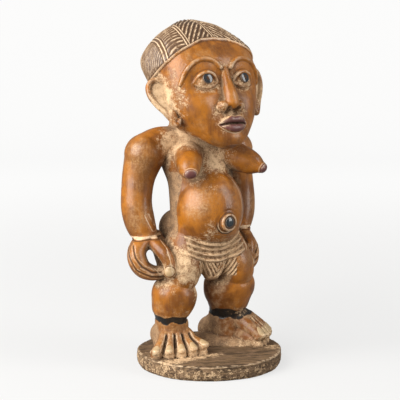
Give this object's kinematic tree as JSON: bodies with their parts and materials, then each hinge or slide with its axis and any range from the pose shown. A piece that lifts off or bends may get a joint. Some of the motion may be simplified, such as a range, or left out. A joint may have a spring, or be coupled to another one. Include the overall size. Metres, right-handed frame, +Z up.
{
  "type": "carved wooden statue",
  "caption": "Standing carved wooden figure with a close patterned cap of hair, inlaid eyes and navel, loincloth and round base; stands on a shelf or table as an ornament.",
  "frame": {"origin": "on the surface the base stands on, under the middle of the figure's bounding box", "axes": "+Z up, the figure faces -Y, and its own left hand is at +X"},
  "size_m": [0.1362, 0.1282, 0.2882],
  "materials": {
    "carved_wood": "worn orange-brown patina, glossy on the rounded parts, pale dust in the hollows",
    "eye_glass": "glossy, dark, opaque",
    "grey_glass": "glossy, grey, opaque"
  },
  "bodies": {
    "root": {"figure": "carved_wood", "eye_inlay_right": "eye_glass", "eye_inlay_left": "eye_glass", "navel_inlay": "grey_glass"}
  },
  "joints": []
}
